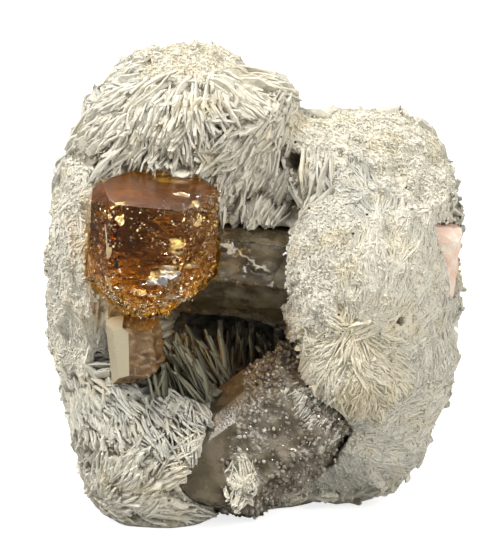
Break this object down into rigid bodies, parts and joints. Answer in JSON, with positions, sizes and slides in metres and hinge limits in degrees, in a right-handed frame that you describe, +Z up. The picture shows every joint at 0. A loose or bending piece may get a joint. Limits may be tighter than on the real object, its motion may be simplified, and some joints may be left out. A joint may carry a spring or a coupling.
{
  "type": "topaz crystal specimen on albite matrix",
  "caption": "Mineral hand specimen: a stubby sherry topaz crystal on white bladed albite, with smoky quartz in and below a small pocket.",
  "frame": {"origin": "middle of the bounding box at the flat base the specimen stands on", "axes": "+Z up, the way the specimen stands in the picture; -Y towards the viewer, the side with the topaz; +X to the viewer's right"},
  "size_m": [0.0618, 0.039, 0.0692],
  "materials": {
    "albite": "matte, bladed and sugary",
    "topaz": "clear and glossy, etched on one side",
    "frosted_topaz": "frosted, translucent",
    "smoky_quartz": "satin, translucent",
    "drusy_quartz": "glittering drusy crust on smooth faces",
    "feldspar": "matte cleavage face",
    "grey_albite": "dull, in shadow"
  },
  "bodies": {
    "root": {"albite_matrix": "albite", "topaz_crystal": "topaz", "topaz_stub": "frosted_topaz", "back_quartz": "smoky_quartz", "front_quartz": "drusy_quartz", "pink_feldspar": "feldspar", "pocket_crust": "grey_albite"}
  },
  "joints": []
}
